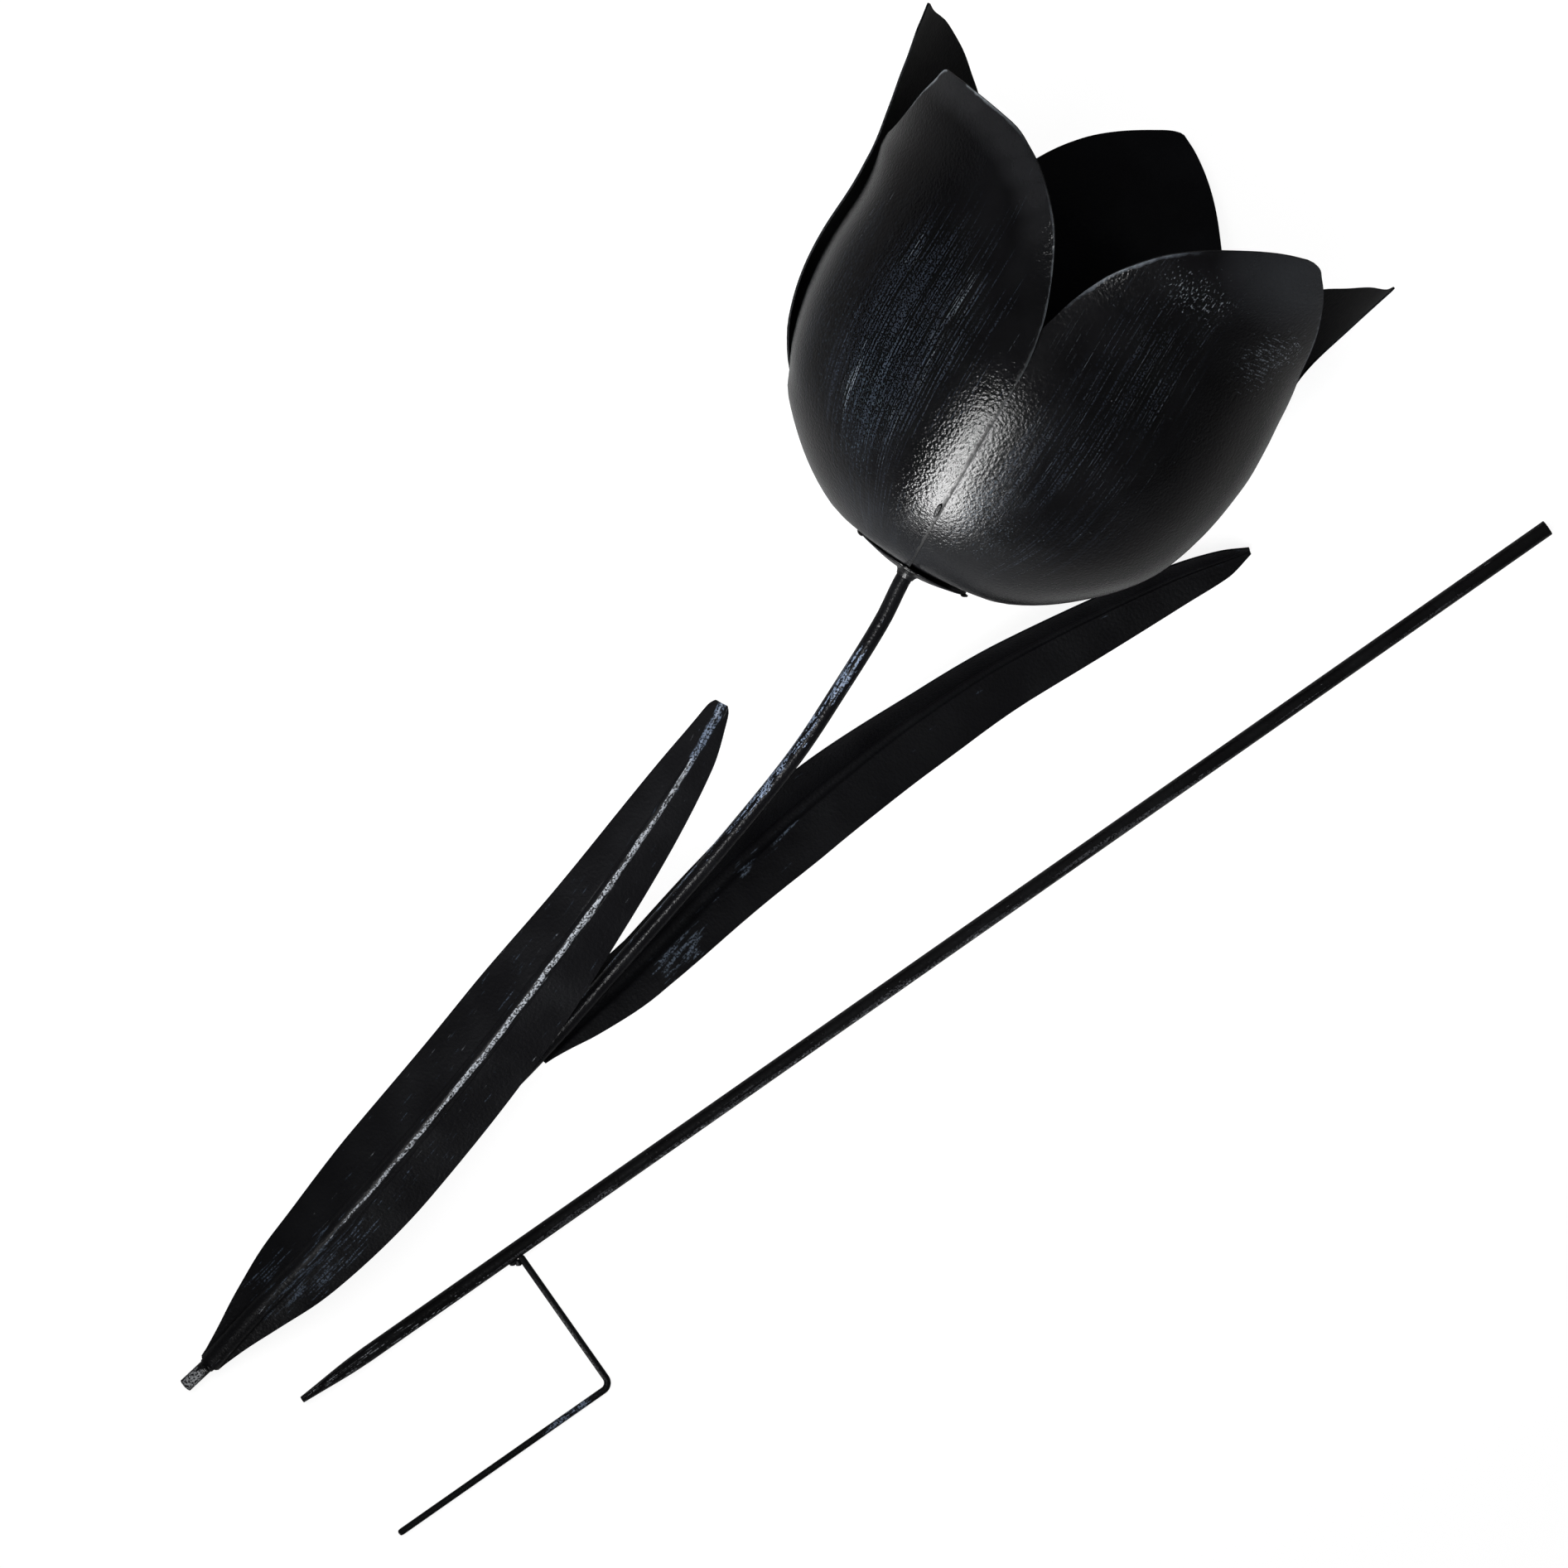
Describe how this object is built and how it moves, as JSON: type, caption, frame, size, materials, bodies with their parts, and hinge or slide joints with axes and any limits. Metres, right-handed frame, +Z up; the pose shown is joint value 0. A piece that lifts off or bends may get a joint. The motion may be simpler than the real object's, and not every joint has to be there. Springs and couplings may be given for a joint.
{
  "type": "metal tulip garden stake",
  "caption": "Sheet-metal tulip garden ornament shown unplugged: a petalled bloom on a curved stem with leaves, beside its pointed ground stake with a side prong.",
  "frame": {"origin": "on the floor under the middle of the box round the two halves as they lie", "axes": "+X along the ground stake from its point to its open end, +Y across the floor towards the side where the flower lies, +Z up from the floor"},
  "size_m": [0.6456, 0.3758, 0.2035],
  "materials": {
    "petal_paint": "black orange-peel paint with blue-grey dry-brushed streaks",
    "cup_paint": "black gloss paint",
    "weld_paint": "black gloss paint over rough weld beads",
    "stem_paint": "black gloss paint with blue-grey dry-brushed streaks",
    "leaf_paint": "black paint with blue-grey dry-brushed streaks along the leaf",
    "stake_paint": "black gloss paint with a few scratches"
  },
  "bodies": {
    "flower_half": {"stem_tube": "stem_paint", "petal_front_left": "petal_paint", "petal_front_right": "petal_paint", "petal_side_left": "petal_paint", "petal_side_right": "petal_paint", "petal_back": "petal_paint", "calyx_cup": "cup_paint", "rim_weld_1": "weld_paint", "rim_weld_2": "weld_paint", "rim_weld_3": "weld_paint", "rim_weld_4": "weld_paint", "rim_weld_5": "weld_paint", "seam_weld": "weld_paint", "stem_weld": "weld_paint", "leaf_left": "leaf_paint", "leaf_left_weld": "weld_paint", "leaf_right": "leaf_paint", "leaf_right_weld": "weld_paint"},
    "stake_half": {"stake_tube": "stake_paint", "prong_rod": "stake_paint", "prong_weld": "weld_paint"}
  },
  "joints": [
    {"name": "stake_lift", "type": "slide", "parent": "flower_half", "child": "stake_half", "axis": [0, 0, 1], "range_m": [0, 0.25]}
  ]
}
